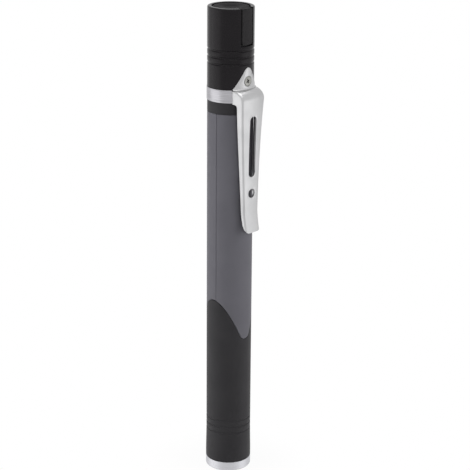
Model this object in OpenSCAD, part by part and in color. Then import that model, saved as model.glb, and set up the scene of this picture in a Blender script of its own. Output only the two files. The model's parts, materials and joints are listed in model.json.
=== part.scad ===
// Penlight with a clip: a push button at the top, the lamp at the bottom.
// Origin at the centre of the lamp end, +Z along the barrel, the clip on -Y.

/* [Outside] */
// Diameter of the switch head
head_d = 16; // [15.6:0.1:18]
// Diameter of the barrel and of its grey panels
barrel_d = 15.9; // [15.6:0.1:18]
// Diameter of the lamp end: the bezel and the cuff of the barrel
lamp_end_d = 16.2; // [16:0.1:18]
// Diameter of the metal collar
collar_d = 16.3; // [16:0.1:18]
// Visible height of the bezel
bezel_h = 3.4; // [3.2:0.1:5]
// Height of the metal collar
collar_h = 4.5; // [4.2:0.1:6]
// Height of the switch head above the collar
head_h = 27.4; // [26.6:0.1:34]
// Edge break on the bezel
bezel_edge = 0.5; // [0.1:0.1:0.8]
// Edge break on the rim of the switch head
head_edge = 0.5; // [0.2:0.1:0.8]

/* [Grooves] */
// Number of grooves in each set
groove_count = 3; // [1:1:4]
// Width of a groove
groove_w = 0.6; // [0.3:0.1:1]
// Depth of a groove
groove_depth = 0.25; // [0.1:0.05:0.4]
// Height of the cuff between the bezel and the lower grooves
cuff_h = 11.1; // [8:0.1:14]
// Height of the cuff's straight part, below its taper
cuff_straight = 3; // [2:0.1:6]
// Pitch of the lower grooves
low_pitch = 2.35; // [1.5:0.05:3]
// Height of the first head groove above the collar
head_groove_rise = 8.2; // [7.7:0.1:9]
// Pitch of the head grooves
head_pitch = 2.28; // [1.5:0.02:2.6]

/* [Panels] */
// Thickness of the grey panels
panel_t = 1.2; // [0.8:0.1:1.4]
// Height of the black band left above the panels
neck_band_h = 4; // [2:0.1:8]
// Height of the tongue tips of the panels above the bezel
tongue_tip_rise = 47.3; // [40:0.1:56]
// Radius of the tongue tips
tongue_tip_r = 2.4; // [1:0.1:4]
// Angle between a tongue's flank and the barrel axis
tongue_angle = 23.5; // [18:0.5:35]
// Distance of the seam between the panels from the barrel axis, towards the clip
panel_split = 1.1; // [0:0.05:2]
// Width of the seam around the panels
seam_gap = 0.08; // [0.04:0.01:0.2]

/* [Lamp] */
// Thickness of the lip that holds the lens
lip_t = 1.2; // [0.8:0.1:1.6]
// Width of the lip over the lens edge
lip_w = 0.75; // [0.5:0.05:1]
// Diameter of the lens
lens_d = 12; // [11.2:0.1:12.2]
// Thickness of the lens
lens_t = 1.8; // [1.2:0.1:2.4]
// Thickness of the gasket behind the lens
gasket_t = 0.6; // [0.3:0.1:1]
// Wall of the bezel's threaded spigot
spigot_wall = 0.75; // [0.6:0.05:0.9]
// Length of the bezel's threaded spigot
spigot_h = 5; // [4:0.1:7]
// Height of the reflector
reflector_h = 9.4; // [8.4:0.1:12]
// Thickness of the wall at the reflector's mouth
reflector_wall = 0.6; // [0.4:0.1:0.9]
// Radius of the reflector's throat
throat_r = 2.7; // [2.6:0.1:3.2]
// Side of the square lamp chip
chip_w = 3.4; // [2:0.1:3.5]
// Height of the lamp chip's base
chip_h = 0.7; // [0.4:0.1:1]
// Thickness of the lamp board
lamp_board_t = 1.2; // [0.8:0.1:1.6]
// Diameter of the heat sink and the ground tube
sink_d = 13.2; // [13:0.1:13.4]
// Height of the heat sink
sink_h = 10; // [8:0.1:12]
// Thickness of the driver board
driver_t = 1; // [0.6:0.1:1.6]
// Height of the ground tube
ground_tube_h = 10.4; // [8:0.1:12]
// Thickness of the disc that insulates the cell from the tube
insulator_t = 2; // [1.2:0.1:3]
// Diameter of the positive contact's shank
contact_d = 2.4; // [1.8:0.1:3]
// Distance between the two lamp leads
lead_spacing = 6.4; // [5.4:0.1:8]
// Diameter of a lamp lead
lead_d = 0.8; // [0.5:0.1:1.2]

/* [Cells] */
// Diameter of a cell
cell_d = 10.5; // [10:0.1:10.7]
// Length of a cell with its button
cell_len = 44.5; // [42:0.1:45.5]
// Diameter of the cell's button
cell_button_d = 3.8; // [3:0.1:5]
// Height of the cell's button
cell_button_h = 0.8; // [0.6:0.1:1.5]
// Clearance around a cell in its bay
bay_gap = 0.25; // [0.15:0.05:0.4]
// Width of the contact strip
strip_w = 2.4; // [1.6:0.1:3]
// Thickness of the contact strip
strip_t = 0.3; // [0.2:0.05:0.35]
// Length of the cell spring with the head closed
cell_spring_len = 15.9; // [10:0.1:20]
// Wire diameter of the cell spring
cell_spring_wire = 0.7; // [0.5:0.1:0.9]
// Turns of the cell spring
cell_spring_turns = 6; // [4:1:8]

/* [Head] */
// Wall of the barrel's threaded neck
neck_wall = 0.9; // [0.8:0.05:1]
// Clearance between the neck and the head that screws onto it
thread_gap = 0.08; // [0.05:0.01:0.1]
// Thickness of the metal collar
collar_t = 0.75; // [0.6:0.05:0.8]
// Section diameter of the two seal rings
seal_d = 0.6; // [0.4:0.05:0.6]
// Thickness of the contact plates under the head's floor
plate_t = 0.35; // [0.2:0.05:0.5]
// Thickness of the head's floor, which takes the clip screw
floor_t = 5; // [4.4:0.1:5.4]
// Diameter of the rivets through the floor
rivet_d = 0.5; // [0.3:0.05:0.6]
// Thickness of the switch board
switch_board_t = 1; // [0.6:0.1:1.6]
// Side of the square switch
switch_w = 6; // [5:0.1:7]
// Height of the switch
switch_h = 3.5; // [3:0.1:4]
// Diameter of the switch plunger
plunger_d = 3.4; // [2.4:0.1:3.8]
// Height of the plunger above the switch
plunger_h = 1.1; // [0.8:0.1:1.4]

/* [Button] */
// Wall of the head around the button
rim_wall = 1.4; // [1.2:0.05:1.6]
// Gap between the button disc and the rim
disc_gap = 0.35; // [0.2:0.05:0.5]
// Depth of the rim above the edge of the disc
disc_drop = 0.2; // [0:0.1:0.6]
// Thickness of the button disc
disc_t = 2; // [1.6:0.1:3]
// Radius of the dish in the disc
dish_r = 4.4; // [3:0.1:5]
// Depth of the dish
dish_depth = 0.45; // [0.2:0.05:0.8]
// Width of the button's tongue
key_w = 4.9; // [4:0.1:6]
// Length of the button's tongue below the rim
key_len = 12.4; // [10:0.1:12.6]
// Thickness of the button's tongue
key_t = 1.2; // [0.9:0.05:1.25]
// Corner break at the foot of the tongue
key_corner = 0.6; // [0.3:0.1:1.5]
// Gap around the tongue in its slot, which is also the room for its travel
key_gap = 0.5; // [0.5:0.05:0.7]
// Height of the guide bush's seat above the switch plunger
bush_rise = 3.3; // [2.8:0.1:5]
// Height of the guide bush
bush_h = 4; // [3:0.1:5]
// Width of the ledge under the guide bush
bush_ledge = 0.4; // [0.3:0.05:0.6]
// Diameter of the button's stem
stem_d = 4; // [3:0.1:5]
// Running clearance of the stem and the plunger
run_gap = 0.08; // [0.04:0.01:0.1]
// Thickness of the retaining ring on the stem
retainer_t = 0.5; // [0.3:0.1:0.8]
// Wire diameter of the button spring
button_spring_wire = 0.5; // [0.3:0.1:0.7]
// Turns of the button spring
button_spring_turns = 5; // [3:1:6]

/* [Clip] */
// Thickness of the clip's sheet
clip_t = 0.7; // [0.5:0.05:0.8]
// Length of the clip below the head
clip_len = 50; // [47:0.1:60]
// Height of the clip's tab on the head
tab_h = 7.4; // [6:0.1:7.5]
// Radius of the tab's point
tab_tip_r = 1.5; // [1:0.1:2]
// How far the tab stands out of its recess in the head
tab_proud = 0.3; // [0.2:0.05:0.4]
// Outer width of the clip at the crease below its tab
clip_top_w = 11; // [10:0.1:11.4]
// Outer width of the clip at its tip
clip_tip_w = 6.6; // [5.4:0.1:8]
// Corner radius of the clip's tip
clip_corner = 1.5; // [0.8:0.1:2.4]
// Distance of the shoulder's outer face from the head's surface
shoulder_out = 3; // [2.6:0.1:4]
// Height of the shoulder's round
shoulder_h = 3.4; // [2:0.1:4]
// Distance of the clip's waist from the head's surface
waist_out = 2.1; // [1.8:0.1:2.4]
// Height of the waist above the clip's tip
waist_rise = 7.2; // [5:0.1:10]
// Distance of the tip's outer face from the head's surface
tip_out = 3.4; // [2.4:0.1:4]
// Depth of the clip's flanges at the shoulder
flange_top = 3; // [2.4:0.1:3.2]
// Depth of the clip's flanges at the tip
flange_tip = 1.3; // [0.9:0.1:1.6]
// Radius between the flange's foot on the collar and the leaf
flange_fillet = 1.2; // [0.6:0.1:1.6]
// Width of the slot and diameter of the hole in the clip
slot_w = 3.2; // [2:0.1:3.4]
// Distance of the slot's upper end below the head
slot_drop = 9; // [7:0.1:10]
// Height of the web between the slot and the hole
slot_web = 4.2; // [2:0.1:8]
// Height of the hole above the clip's tip
hole_rise = 13.8; // [11:0.1:18]
// Height of the clip screw above the collar
screw_rise = 2.7; // [2.2:0.1:3.2]
// Shank diameter of the clip screw
screw_d = 2; // [1.6:0.1:2.5]
// Length of the clip screw's shank
screw_len = 5; // [3:0.1:6]
// Diameter of the clip screw's head
screw_head_d = 3.4; // [3:0.1:4]
// Height of the clip screw's countersunk head
screw_head_h = 0.7; // [0.5:0.1:1.2]

/* [Hidden] */
$fn = 72;

// Clearance between fixed pieces that fit round one another
fit_gap = 0.05;
// Clearance between the head and the shoulder it closes on
shut_gap = 0.05;
// How far a cutter reaches past the surface it cuts
over = 1;

// Radii
head_r = head_d / 2;
barrel_r = barrel_d / 2;
lamp_end_r = lamp_end_d / 2;
collar_r = collar_d / 2;
lens_r = lens_d / 2;
sink_r = sink_d / 2;
cell_r = cell_d / 2;
bay_r = cell_r + bay_gap;
core_r = barrel_r - panel_t;
lens_seat_r = lens_r + fit_gap;
spigot_r = lens_seat_r + spigot_wall;
spigot_bore_r = spigot_r + fit_gap;
lamp_bore_r = sink_r + fit_gap;
neck_r = bay_r + neck_wall;
thread_bore_r = neck_r + thread_gap;
collar_bore_r = collar_r - collar_t;
skirt_r = collar_bore_r - fit_gap;
well_r = head_r - rim_wall;
chamber_r = well_r - bush_ledge;
disc_r = well_r - disc_gap;
stem_r = stem_d / 2;
plunger_r = plunger_d / 2;

// Heights of the lamp's stack, from the bezel's lip upwards
z_lens = lip_t;
z_gasket = z_lens + lens_t;
z_reflector = z_gasket + gasket_t;
z_lamp_board = z_reflector + reflector_h;
z_sink = z_lamp_board + lamp_board_t;
z_driver = z_sink + sink_h;
z_ground_tube = z_driver + driver_t;
z_lamp_end = z_ground_tube + ground_tube_h;
z_shoulder = z_lamp_end + strip_t;
z_spigot_end = bezel_h + spigot_h;

// Heights of the cells, and of the head that closes on their spring
contact_stand = 0.4;
floor_rise = 0.3;
z_cells = z_shoulder + contact_stand;
z_cell_spring = z_cells + 2 * cell_len + fit_gap;
z_floor = z_cell_spring + cell_spring_len + plate_t;
z_neck_end = z_floor - plate_t - shut_gap;
z_head = z_floor - floor_rise;
z_seam = z_head - collar_h;
z_top = z_head + head_h;

// Heights of the grooves and the panels
z_low_grooves = bezel_h + cuff_h;
z_head_grooves = z_head + head_groove_rise;
z_panel_top = z_seam - neck_band_h;
z_tongue_tip = bezel_h + tongue_tip_rise;

// Heights of the switch and the button
z_floor_top = z_floor + floor_t;
z_switch = z_floor_top + switch_board_t;
z_plunger = z_switch + switch_h;
z_stem = z_plunger + plunger_h;
z_bush = z_stem + bush_rise;
z_bush_top = z_bush + bush_h;
z_disc_top = z_top - disc_drop;
z_disc = z_disc_top - disc_t;
z_key = z_top - key_len;

// Seal rings
seal_pocket = seal_d + 2 * fit_gap;
bezel_seal_r = spigot_r + fit_gap + seal_d / 2;
neck_seal_r = neck_r + fit_gap + seal_d / 2;

// The strip's channel in the cell bay, on +Y
strip_gap = 0.1;
strip_y = bay_r + strip_gap;
channel_y = strip_y + strip_t + fit_gap;
channel_w = strip_w + 2 * strip_gap;

// Contact plates and rivets in the head
spring_plate_r = bay_r - 0.8;
ring_in_r = bay_r + fit_gap;
ring_out_r = neck_r;
ring_rivet_y = (ring_in_r + ring_out_r) / 2;
rivet_r = rivet_d / 2;

// The ground tube's bore, with a wider seat for the insulating disc at its top
tube_wall = 1.3;
tube_bore_r = sink_r - tube_wall;
insulator_r = tube_bore_r + 0.4;
contact_flange_r = contact_d / 2 + 1;
contact_flange_h = 0.6;

// The leaf stands off the collar and drops a little into its notch as it bends
leaf_gap = 0.1;
notch_room = 0.3;

// Distances of the clip's surfaces from the barrel axis
tab_out = head_r + tab_proud;
tab_in = tab_out - clip_t;
shoulder_s = head_r + shoulder_out;
waist_s = head_r + waist_out;
tip_s = head_r + tip_out;
z_tip = z_head - clip_len;
z_waist = z_tip + waist_rise;
z_bend = z_head - shoulder_h;
flange_foot = 0.3;
z_flange_foot = z_seam - flange_foot;
z_screw = z_head + screw_rise;
curve_steps = 12;
bend_steps = 10;

// A round bar on the barrel axis
module disc(r, low, high) {
    translate([0, 0, low]) cylinder(r = r, h = high - low);
}

// A round tube on the barrel axis
module tube(r_out, r_in, low, high) {
    rotate_extrude() translate([r_in, low]) square([r_out - r_in, high - low]);
}

// A seal ring on the barrel axis
module seal(r, z) {
    rotate_extrude() translate([r, z]) circle(d = seal_d, $fn = 24);
}

// An upright block on a given centre, with its foot at a given height
module block(x, y, z, w, d, h) {
    translate([x - w / 2, y - d / 2, z]) cube([w, d, h]);
}

// Extrudes a front view, drawn in X and Z, from y_far to y_near
module front_view(y_far, y_near) {
    translate([0, y_near, 0]) rotate([90, 0, 0]) linear_extrude(height = y_near - y_far) children();
}

// Extrudes a side view, drawn in distance from the axis on -Y and Z, across a width
module side_view(w) {
    translate([w / 2, 0, 0]) rotate([0, 0, -90]) rotate([90, 0, 0]) linear_extrude(height = w) children();
}

// Rings that cut a set of grooves into a surface of radius r
module grooves(r, first, pitch) {
    for (i = [0 : groove_count - 1])
        tube(r + over, r - groove_depth, first + i * pitch, first + i * pitch + groove_w);
}

// One wire wound from z_low to z_high, its radius going from r_low to r_high
module coil(z_low, z_high, r_low, r_high, wire, turns) {
    rings = 8 * turns;
    sides = 6;
    rise = z_high - z_low - wire;
    points = [
        for (i = [0 : rings], j = [0 : sides - 1])
            let (
                u = i / rings,
                turn = 360 * turns * u,
                r = r_low + (r_high - r_low) * u + wire / 2 * cos(360 * j / sides),
                z = z_low + wire / 2 + rise * u + wire / 2 * sin(360 * j / sides)
            )
            [r * cos(turn), r * sin(turn), z]
    ];
    walls = [
        for (i = [0 : rings - 1], j = [0 : sides - 1])
            let (a = i * sides + j, b = i * sides + (j + 1) % sides)
            each [[a, a + sides, b], [b, a + sides, b + sides]]
    ];
    last = rings * sides;
    ends = [
        for (j = [1 : sides - 2])
            each [[0, j, j + 1], [last, last + j + 1, last + j]]
    ];
    polyhedron(points = points, faces = concat(walls, ends));
}

// Points of an arc about a centre, from one angle to another
function arc(x, y, r, from, to) = [
    for (i = [0 : bend_steps])
        let (turn = from + (to - from) * i / bend_steps)
        [x + r * cos(turn), y + r * sin(turn)]
];

// Front view of a panel: straight above, a tongue with a round tip below
module panel_outline(gap) {
    edge = barrel_r + over;
    tip = arc(
        0, z_tongue_tip + tongue_tip_r, tongue_tip_r - gap, -tongue_angle, tongue_angle - 180
    );
    corner_z = tip[0].y + (edge - tip[0].x) / tan(tongue_angle);
    polygon(concat(
        [[-edge, corner_z], [-edge, z_panel_top - gap], [edge, z_panel_top - gap], [edge, corner_z]], tip
    ));
}

// The seat of both panels round the barrel's core
module panel_seat() {
    intersection() {
        tube(barrel_r + over, core_r, z_tongue_tip - over, z_panel_top + over);
        front_view(-barrel_r - over, barrel_r + over) panel_outline(0);
    }
}

module barrel() {
    color("#2b2a2c") difference() {
        rotate_extrude() polygon([
            [0, bezel_h], [lamp_end_r, bezel_h], [lamp_end_r, bezel_h + cuff_straight],
            [barrel_r, z_low_grooves], [barrel_r, z_seam], [neck_r, z_seam],
            [neck_r, z_neck_end], [0, z_neck_end]
        ]);
        disc(bay_r, bezel_h - over, z_neck_end + over);
        disc(lamp_bore_r, bezel_h - over, z_shoulder);
        disc(spigot_bore_r, bezel_h - over, z_spigot_end + fit_gap);
        disc(spigot_r + seal_pocket, bezel_h - over, bezel_h + seal_pocket);
        block(0, channel_y / 2, z_shoulder - over, channel_w, channel_y, z_neck_end - z_shoulder + 2 * over);
        grooves(barrel_r, z_low_grooves, low_pitch);
        panel_seat();
    }
}

// The part of the panels' shell between two distances along Y
module panel(y_far, y_near) {
    color("#6a6970") intersection() {
        tube(barrel_r, core_r + fit_gap, z_tongue_tip - over, z_panel_top + over);
        front_view(y_far, y_near) panel_outline(seam_gap);
    }
}

module front_panel() {
    panel(-barrel_r - over, -panel_split - seam_gap / 2);
}

module rear_panel() {
    panel(-panel_split + seam_gap / 2, barrel_r + over);
}

module bezel() {
    lip_r = lens_r - lip_w;
    color("#c9cacc") rotate_extrude() polygon([
        [lip_r + lip_t / 2, 0], [lamp_end_r - bezel_edge, 0], [lamp_end_r, bezel_edge],
        [lamp_end_r, bezel_h], [spigot_r, bezel_h], [spigot_r, z_spigot_end],
        [lens_seat_r, z_spigot_end], [lens_seat_r, z_lens], [lip_r, z_lens], [lip_r, lip_t / 2]
    ]);
}

module bezel_seal() {
    color("#1d1d1f") seal(bezel_seal_r, bezel_h + seal_pocket / 2);
}

module lens() {
    crown = lens_t / 3;
    crown_edge_r = lens_r - lip_w;
    ball_r = (crown_edge_r * crown_edge_r + crown * crown) / (2 * crown);
    color("#dfe9f0") difference() {
        disc(lens_r, z_lens, z_gasket);
        translate([0, 0, z_gasket - crown + ball_r]) sphere(r = ball_r, $fn = 120);
    }
}

module lens_gasket() {
    color("#1d1d1f") tube(lens_r, lens_r - lip_w, z_gasket, z_reflector);
}

// The bowl is a parabola from the throat to the mouth
module reflector() {
    mouth_r = lens_r - lip_w;
    rim_h = 0.8;
    collar_wall = 1;
    bowl = [
        for (i = [0 : curve_steps])
            let (u = i / curve_steps)
            [throat_r + (mouth_r - throat_r) * sqrt(u), z_lamp_board - reflector_h * u]
    ];
    color("#d8dadd") rotate_extrude() polygon(concat(
        bowl,
        [[lens_r, z_reflector], [lens_r, z_reflector + rim_h],
         [mouth_r + reflector_wall, z_reflector + rim_h],
         [throat_r + collar_wall, z_lamp_board - rim_h], [throat_r + collar_wall, z_lamp_board]]
    ));
}

module lamp_chip() {
    dome_r = chip_w / 3;
    z_dome = z_lamp_board - chip_h;
    color("#f2d98a") union() {
        block(0, 0, z_dome, chip_w, chip_w, chip_h);
        intersection() {
            translate([0, 0, z_dome]) sphere(r = dome_r);
            disc(chip_w / 2, z_dome - dome_r - over, z_dome + chip_h / 2);
        }
    }
}

module lamp_board() {
    color("#e8e8e4") difference() {
        disc(lens_r, z_lamp_board, z_sink);
        lead_pair(lead_d + 2 * fit_gap, z_lamp_board - over, z_sink + over);
    }
}

// Two upright bars at the places of the lamp leads
module lead_pair(d, low, high) {
    for (side = [-1, 1])
        translate([side * lead_spacing / 2, 0, low]) cylinder(d = d, h = high - low, $fn = 24);
}

module heat_sink() {
    recess_wall = 1.2;
    recess_h = 3;
    color("#b9bbbe") difference() {
        disc(sink_r, z_sink, z_driver);
        disc(sink_r - recess_wall, z_driver - recess_h, z_driver + over);
        lead_pair(lead_d + 2 * fit_gap, z_sink - over, z_driver + over);
    }
}

module lamp_leads() {
    color("#b8703a") lead_pair(lead_d, z_lamp_board, z_driver);
}

module driver_board() {
    color("#2f6b46") disc(sink_r, z_driver, z_ground_tube);
}

module driver_parts() {
    ring = (contact_flange_r + tube_bore_r) / 2;
    room = (tube_bore_r - contact_flange_r) * 0.7;
    color("#3a3a3d") union() {
        block(ring, 0, z_ground_tube, room, room, 1.8);
        block(-ring, 0, z_ground_tube, room, 1.3 * room, 1);
        block(0, ring, z_ground_tube, room, 0.7 * room, 0.9);
        block(0, -ring, z_ground_tube, room, 0.7 * room, 0.9);
    }
}

module ground_tube() {
    color("#b9bbbe") difference() {
        tube(sink_r, tube_bore_r, z_ground_tube, z_lamp_end);
        disc(insulator_r + fit_gap, z_lamp_end - insulator_t, z_lamp_end + over);
    }
}

module contact_insulator() {
    color("#efeee8") tube(insulator_r, contact_d / 2 + fit_gap, z_lamp_end - insulator_t, z_lamp_end);
}

module positive_contact() {
    color("#c9a45a") union() {
        disc(contact_flange_r, z_ground_tube, z_ground_tube + contact_flange_h);
        disc(contact_d / 2, z_ground_tube, z_cells);
    }
}

// A round cell with its button down
module cell(foot) {
    edge = 0.4;
    skin = [
        [0, foot], [cell_button_d / 2, foot], [cell_button_d / 2, foot + cell_button_h],
        [cell_r - edge, foot + cell_button_h], [cell_r, foot + cell_button_h + edge],
        [cell_r, foot + cell_len - edge], [cell_r - edge, foot + cell_len], [0, foot + cell_len]
    ];
    rotate_extrude() polygon(skin);
}

module lower_cell() {
    color("#3f6f8f") cell(z_cells);
}

module upper_cell() {
    color("#3f6f8f") cell(z_cells + cell_len);
}

// A strip up the cell bay, with a foot turned out on the ground tube
module contact_strip() {
    foot_end = sink_r - fit_gap;
    color("#c9a45a") union() {
        block(0, strip_y + strip_t / 2, z_lamp_end, strip_w, strip_t, z_neck_end - z_lamp_end);
        block(0, (strip_y + foot_end) / 2, z_lamp_end, strip_w, foot_end - strip_y, strip_t);
    }
}

module neck_seal() {
    color("#1d1d1f") seal(neck_seal_r, z_seam + shut_gap + seal_pocket / 2);
}

// The slot that the button's tongue slides in, open at the rim
module key_slot() {
    slot_half = key_w / 2 + key_gap;
    front_view(-head_r - over, -chamber_r / 2) polygon([
        [-slot_half, z_top + over], [-slot_half, z_key - key_gap + key_corner],
        [key_corner - slot_half, z_key - key_gap], [slot_half - key_corner, z_key - key_gap],
        [slot_half, z_key - key_gap + key_corner], [slot_half, z_top + over]
    ]);
}

module head_shell() {
    color("#2b2a2c") difference() {
        rotate_extrude() polygon([
            [0, z_seam + shut_gap], [skirt_r, z_seam + shut_gap], [skirt_r, z_head],
            [head_r, z_head], [head_r, z_top - head_edge], [head_r - head_edge, z_top], [0, z_top]
        ]);
        disc(thread_bore_r, z_seam - over, z_floor);
        disc(neck_r + seal_pocket, z_seam - over, z_seam + shut_gap + seal_pocket);
        disc(chamber_r, z_floor_top, z_top + over);
        disc(well_r, z_bush, z_top + over);
        rivets(rivet_r + fit_gap, over);
        grooves(head_r, z_head_grooves, head_pitch);
        key_slot();
        tab_shell(tab_in - fit_gap, head_r + over, fit_gap);
        screw_hole(tab_out - screw_len - fit_gap);
    }
}

// The collar has a notch on -Y for the top of the clip's leaf
module collar() {
    notch_y = collar_r + over;
    notch_h = clip_t + notch_room;
    color("#c4c5c9") difference() {
        tube(collar_r, collar_bore_r, z_seam + shut_gap, z_head);
        block(0, -notch_y / 2, z_head - notch_h, clip_top_w + 2 * fit_gap, notch_y, notch_h + over);
    }
}

// A bar on the clip screw's axis, from one distance from the barrel axis to another
module screw_bar(r, from, to) {
    translate([0, -from, z_screw]) rotate([90, 0, 0]) cylinder(r = r, h = to - from);
}

// The part of a shell round the head that lies behind the tab's outline, with its point upwards
module tab_shell(r_in, r_out, gap) {
    r = tab_tip_r + gap;
    half = clip_top_w / 2 + gap;
    rise = tab_h - tab_tip_r;
    lean = acos(r / norm([half, rise])) - atan2(rise, half);
    intersection() {
        tube(r_out, r_in, z_head, z_head + tab_h + over);
        front_view(-r_out - over, 0) polygon(concat(
            [[-half, z_head - over], [-half, z_head]],
            arc(0, z_head + rise, r, 180 - lean, lean),
            [[half, z_head], [half, z_head - over]]
        ));
    }
}

module clip_tab() {
    color("#cfcfd0") difference() {
        tab_shell(tab_in, tab_out, 0);
        screw_hole(tab_in - over);
    }
}

// The hole for the clip screw from a given distance outwards, with its countersink
module screw_hole(from) {
    screw_bar(screw_d / 2 + fit_gap, from, tab_out + over);
    screw_cone(fit_gap);
}

// The countersunk head of the screw, flush with the middle of the tab
module screw_cone(gap) {
    translate([0, -tab_out + screw_head_h, z_screw]) rotate([90, 0, 0])
        cylinder(r1 = screw_d / 2 + gap, r2 = screw_head_d / 2 + gap, h = screw_head_h);
}

module clip_screw() {
    drive_w = 0.5;
    drive_len = screw_head_d * 0.55;
    drive_depth = 0.5;
    color("#b9b9ba") difference() {
        union() {
            screw_bar(screw_d / 2, tab_out - screw_len, tab_out);
            screw_cone(0);
        }
        translate([0, -tab_out, z_screw]) {
            cube([drive_len, 2 * drive_depth, drive_w], center = true);
            cube([drive_w, 2 * drive_depth, drive_len], center = true);
        }
    }
}

module spring_plate() {
    color("#c8c8c4") tube(spring_plate_r, rivet_r + fit_gap, z_floor - plate_t, z_floor);
}

module cell_spring() {
    color("#b4b4b2") coil(
        z_cell_spring, z_floor - plate_t,
        cell_r - 2.4, spring_plate_r - cell_spring_wire, cell_spring_wire, cell_spring_turns
    );
}

module contact_ring() {
    color("#c9a45a") difference() {
        tube(ring_out_r, ring_in_r, z_floor - plate_t, z_floor);
        rivets(rivet_r + fit_gap, over);
    }
}

// The two rivets through the head's floor: one on the axis, one on the contact ring
module rivets(r, longer) {
    for (y = [0, ring_rivet_y])
        translate([0, y, z_floor - plate_t - longer])
            cylinder(r = r, h = plate_t + floor_t + 2 * longer, $fn = 24);
}

module floor_rivets() {
    color("#c9a45a") rivets(rivet_r, 0);
}

module switch_board() {
    color("#2f6b46") disc(chamber_r - fit_gap, z_floor_top, z_switch);
}

module switch_body() {
    well = 2;
    color("#3c3c40") difference() {
        block(0, 0, z_switch, switch_w, switch_w, switch_h);
        disc(plunger_r + run_gap, z_plunger - well, z_plunger + over);
    }
}

module switch_plunger() {
    inside = 1.2;
    color("#d8d6cf") disc(plunger_r, z_plunger - inside, z_stem);
}

module guide_bush() {
    color("#e4e2da") tube(well_r - fit_gap, stem_r + run_gap, z_bush, z_bush_top);
}

module button_spring() {
    color("#b4b4b2") coil(
        z_bush_top, z_disc, stem_r + 1.2, stem_r + 1.2, button_spring_wire, button_spring_turns
    );
}

// The tongue of the button, in the wall of the head, with its foot corners broken
module key() {
    half = key_w / 2;
    intersection() {
        tube(head_r, head_r - key_t, z_key, z_disc_top);
        front_view(-head_r - over, 0) polygon([
            [-half, z_disc_top], [-half, z_key + key_corner], [key_corner - half, z_key],
            [half - key_corner, z_key], [half, z_key + key_corner], [half, z_disc_top]
        ]);
    }
}

module push_button() {
    ball_r = (dish_r * dish_r + dish_depth * dish_depth) / (2 * dish_depth);
    groove_r = stem_r - retainer_t;
    color("#2b2a2c") difference() {
        union() {
            disc(disc_r, z_disc, z_disc_top);
            intersection() {
                disc(head_r, z_disc, z_disc_top);
                block(0, -head_r / 2, z_disc, key_w, head_r, disc_t);
            }
            key();
            disc(stem_r, z_stem, z_disc);
        }
        translate([0, 0, z_disc_top - dish_depth + ball_r]) sphere(r = ball_r, $fn = 120);
        tube(stem_r + over, groove_r, z_bush - fit_gap - retainer_t, z_bush - fit_gap);
    }
}

module retaining_ring() {
    color("#b4b4b2") tube(
        stem_r + 1.2, stem_r - retainer_t + fit_gap, z_bush - fit_gap - retainer_t, z_bush - fit_gap
    );
}

// Distance of the clip's outer face from the barrel axis at a height: a long sweep, then a flare
function clip_face(z) = z > z_waist
    ? waist_s + (shoulder_s - waist_s) * pow((z - z_waist) / (z_bend - z_waist), 3)
    : waist_s + (tip_s - waist_s) * pow((z_waist - z) / (z_waist - z_tip), 1.4);

// Depth of the clip's flanges at a height
function flange_depth(z) = flange_tip + (flange_top - flange_tip) * (z - z_tip) / (z_bend - z_tip);

// Half the clip's outer width at a height
function clip_half(z) =
    (clip_tip_w + (clip_top_w - clip_tip_w) * pow(max(z - z_tip, 0) / clip_len, 1.5)) / 2;

// The clip's outer face in side view, set in by a sheet's thickness, from low up to the shoulder
function face_line(inset, low) = [
    for (i = [0 : 2 * curve_steps])
        let (z = low + (z_bend - low) * i / (2 * curve_steps))
        [clip_face(max(z, z_tip)) - inset, z],
    for (i = [1 : bend_steps])
        let (turn = 90 * i / bend_steps)
        [tab_out + (shoulder_s - tab_out - inset) * cos(turn), z_bend + (shoulder_h - inset) * sin(turn)]
];

// Side view of the folded clip: face, shoulder and the full depth of its flanges
module clip_side() {
    leaf_top = z_flange_foot - flange_fillet;
    leaf_in = clip_face(leaf_top) - flange_depth(leaf_top);
    fillet = arc(leaf_in - flange_fillet, leaf_top, flange_fillet, 90, 0);
    flange_edge = [
        for (i = [1 : curve_steps])
            let (z = leaf_top + (z_tip - leaf_top) * i / curve_steps)
            [clip_face(z) - flange_depth(z), z]
    ];
    polygon(concat(
        face_line(0, z_tip), [[collar_r / 2, z_head], [collar_r / 2, z_flange_foot]], fillet, flange_edge
    ));
}

// Side view of the room between the flanges
module clip_room() {
    polygon(concat(face_line(clip_t, z_tip - over), [[0, z_head - clip_t], [0, z_tip - over]]));
}

// Front view of the clip, set in by a sheet's thickness at both sides
module clip_front(inset, low) {
    corner = max(clip_corner - inset, 0.1);
    low_half = clip_half(low) - inset;
    half_line = concat(
        [for (i = [0 : curve_steps - 1])
            let (z = z_head + (low + corner - z_head) * i / curve_steps)
            [clip_half(z) - inset, z]],
        arc(low_half - corner, low + corner, corner, 0, -90)
    );
    polygon(concat(half_line, [for (i = [len(half_line) - 1 : -1 : 0]) [-half_line[i].x, half_line[i].y]]));
}

module clip_leaf() {
    far = -max(shoulder_s, tip_s) - over;
    slot_r = slot_w / 2;
    z_slot = z_head - slot_drop;
    z_hole = z_tip + hole_rise;
    z_slot_end = z_hole + slot_r + slot_web;
    color("#cfcfd0") difference() {
        intersection() {
            side_view(clip_top_w + 2 * over) clip_side();
            front_view(far, 0) clip_front(0, z_tip);
        }
        intersection() {
            side_view(clip_top_w + 2 * over) clip_room();
            front_view(far, over) clip_front(clip_t, z_tip - over);
        }
        disc(collar_r + leaf_gap, z_flange_foot - over, z_head - clip_t);
        disc(tab_in, z_flange_foot - over, z_head + over);
        front_view(far, 0) {
            polygon(concat(
                arc(0, z_slot - slot_r, slot_r, 0, 180),
                arc(0, z_slot_end + slot_r, slot_r, 180, 360)
            ));
            translate([0, z_hole]) circle(r = slot_r);
        }
    }
}

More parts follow.
